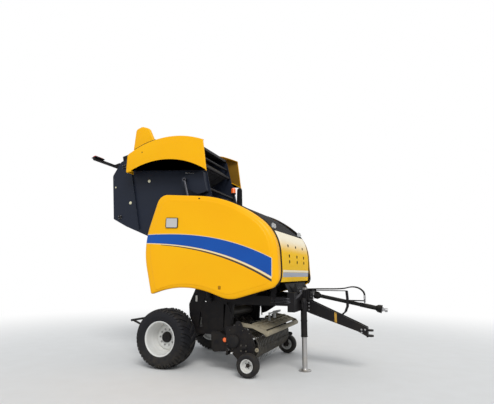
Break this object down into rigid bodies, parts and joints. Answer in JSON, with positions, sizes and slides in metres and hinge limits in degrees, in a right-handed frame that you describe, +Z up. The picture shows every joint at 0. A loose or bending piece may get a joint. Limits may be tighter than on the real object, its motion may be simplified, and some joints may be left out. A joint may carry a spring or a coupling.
{
  "type": "round baler",
  "caption": "Towed round baler with yellow side shields, raised tailgate, tined pickup with gauge wheels, flotation tyres, drawbar, drive shaft and a stand leg, parked on its jack.",
  "frame": {"origin": "middle of the bounding box, on the ground", "axes": "+X the way it is towed, +Y to its left, +Z up"},
  "size_m": [5.618, 2.5, 4.7563],
  "materials": {
    "yellow_paint": "gloss, a little dusty",
    "black_paint": "satin",
    "gate_paint": "satin",
    "white_paint": "gloss",
    "grey_paint": "satin, dusty",
    "steel": "worn",
    "chrome": "polished",
    "tyre_rubber": "matte",
    "belt_rubber": "matte",
    "amber_lens": "moulded lens",
    "red_lens": "moulded lens"
  },
  "bodies": {
    "chassis": {"main_frame": "black_paint", "side_panels": "black_paint", "shield_rails": "black_paint", "axle_beam": "black_paint", "chamber_wall_right": "black_paint", "chamber_wall_left": "black_paint", "front_rolls": "steel", "front_belts": "belt_rubber", "top_deck": "black_paint", "gearbox": "black_paint", "tongue": "black_paint", "hose_mast": "black_paint", "hoses": "belt_rubber", "jack_tube": "black_paint", "amber_lamps": "amber_lens", "pto_shaft": "black_paint"},
    "wheel_right": {"tyre_right": "tyre_rubber", "rim_right": "white_paint"},
    "wheel_left": {"tyre_left": "tyre_rubber", "rim_left": "white_paint"},
    "tailgate": {"tailgate_wall_right": "gate_paint", "tailgate_wall_left": "gate_paint", "tailgate_frame": "black_paint", "tailgate_rolls": "steel", "tailgate_belts": "belt_rubber", "tailgate_cover_right": "yellow_paint", "tailgate_cover_left": "yellow_paint", "net_box": "black_paint", "light_bar": "black_paint", "tail_lamps": "red_lens", "net_hood": "yellow_paint"},
    "shield_right": {"shield_right": "yellow_paint"},
    "shield_left": {"shield_left": "yellow_paint"},
    "front_door": {"front_door": "yellow_paint"},
    "rotor": {"feed_rotor": "steel"},
    "barrel_right": {"cylinder_right": "black_paint"},
    "barrel_left": {"cylinder_left": "black_paint"},
    "rod_right": {"rod_right": "chrome"},
    "rod_left": {"rod_left": "chrome"},
    "pickup": {"pickup_frame": "black_paint", "stripper_bands": "steel"},
    "reel": {"pickup_reel": "steel"},
    "windguard": {"windguard": "grey_paint"},
    "gauge_right": {"gauge_tyre_right": "tyre_rubber", "gauge_rim_right": "white_paint"},
    "gauge_left": {"gauge_tyre_left": "tyre_rubber", "gauge_rim_left": "white_paint"},
    "jack": {"jack_leg": "steel"},
    "ramp": {"bale_ramp": "black_paint"}
  },
  "joints": [
    {"name": "wheel_right_spin", "type": "hinge", "parent": "chassis", "child": "wheel_right", "pos_m": [-0.935, -1, 0.51], "axis": [0, 1, 0], "continuous": true},
    {"name": "wheel_left_spin", "type": "hinge", "parent": "chassis", "child": "wheel_left", "pos_m": [-0.935, 1, 0.51], "axis": [0, 1, 0], "continuous": true},
    {"name": "tailgate_close", "type": "hinge", "parent": "chassis", "child": "tailgate", "pos_m": [-0.315, 0, 2.95], "axis": [0, 1, 0], "range_deg": [-78, 0]},
    {"name": "shield_right_lift", "type": "hinge", "parent": "chassis", "child": "shield_right", "pos_m": [-0.535, -0.94, 2.96], "axis": [-1, 0, 0], "range_deg": [0, 70]},
    {"name": "shield_left_lift", "type": "hinge", "parent": "chassis", "child": "shield_left", "pos_m": [-0.535, 0.94, 2.96], "axis": [1, 0, 0], "range_deg": [0, 70]},
    {"name": "front_door_lift", "type": "hinge", "parent": "chassis", "child": "front_door", "pos_m": [1.091, 0, 2.31], "axis": [0, -1, 0], "range_deg": [0, 70]},
    {"name": "feed_rotor_spin", "type": "hinge", "parent": "chassis", "child": "rotor", "pos_m": [0.075, 0, 0.69], "axis": [0, 1, 0], "continuous": true},
    {"name": "cylinder_right_swing", "type": "hinge", "parent": "chassis", "child": "barrel_right", "pos_m": [-0.175, -0.805, 1.175], "axis": [0, 1, 0], "range_deg": [-16, 2]},
    {"name": "cylinder_right_stroke", "type": "slide", "parent": "barrel_right", "child": "rod_right", "axis": [-0.257, 0, 0.9664], "range_m": [-0.78, 0.02]},
    {"name": "cylinder_left_swing", "type": "hinge", "parent": "chassis", "child": "barrel_left", "pos_m": [-0.175, 0.805, 1.175], "axis": [0, 1, 0], "range_deg": [-16, 2]},
    {"name": "cylinder_left_stroke", "type": "slide", "parent": "barrel_left", "child": "rod_left", "axis": [-0.257, 0, 0.9664], "range_m": [-0.78, 0.02]},
    {"name": "pickup_lift", "type": "hinge", "parent": "chassis", "child": "pickup", "pos_m": [0.165, 0, 0.66], "axis": [0, -1, 0], "range_deg": [0, 9]},
    {"name": "reel_spin", "type": "hinge", "parent": "pickup", "child": "reel", "pos_m": [0.565, 0, 0.42], "axis": [0, 1, 0], "continuous": true},
    {"name": "windguard_lift", "type": "hinge", "parent": "pickup", "child": "windguard", "pos_m": [0.465, 0, 0.79], "axis": [0, -1, 0], "range_deg": [0, 30]},
    {"name": "gauge_right_spin", "type": "hinge", "parent": "pickup", "child": "gauge_right", "pos_m": [0.695, -1.14, 0.1875], "axis": [0, 1, 0], "continuous": true},
    {"name": "gauge_left_spin", "type": "hinge", "parent": "pickup", "child": "gauge_left", "pos_m": [0.695, 1.14, 0.1875], "axis": [0, 1, 0], "continuous": true},
    {"name": "jack_slide", "type": "slide", "parent": "chassis", "child": "jack", "axis": [0, 0, 1], "range_m": [0, 0.4]},
    {"name": "bale_ramp_drop", "type": "hinge", "parent": "chassis", "child": "ramp", "pos_m": [-1.045, 0, 0.34], "axis": [0, -1, 0], "range_deg": [0, 34], "stiffness_Nm_per_rad": 900, "springref_deg": -34.38}
  ],
  "couplings": [
    {"joint": "cylinder_right_swing", "follows": "tailgate_close", "ratio": 0.14865},
    {"joint": "cylinder_right_stroke", "follows": "tailgate_close", "m_per_rad": 0.54814},
    {"joint": "cylinder_left_swing", "follows": "tailgate_close", "ratio": 0.14865},
    {"joint": "cylinder_left_stroke", "follows": "tailgate_close", "m_per_rad": 0.54814}
  ]
}
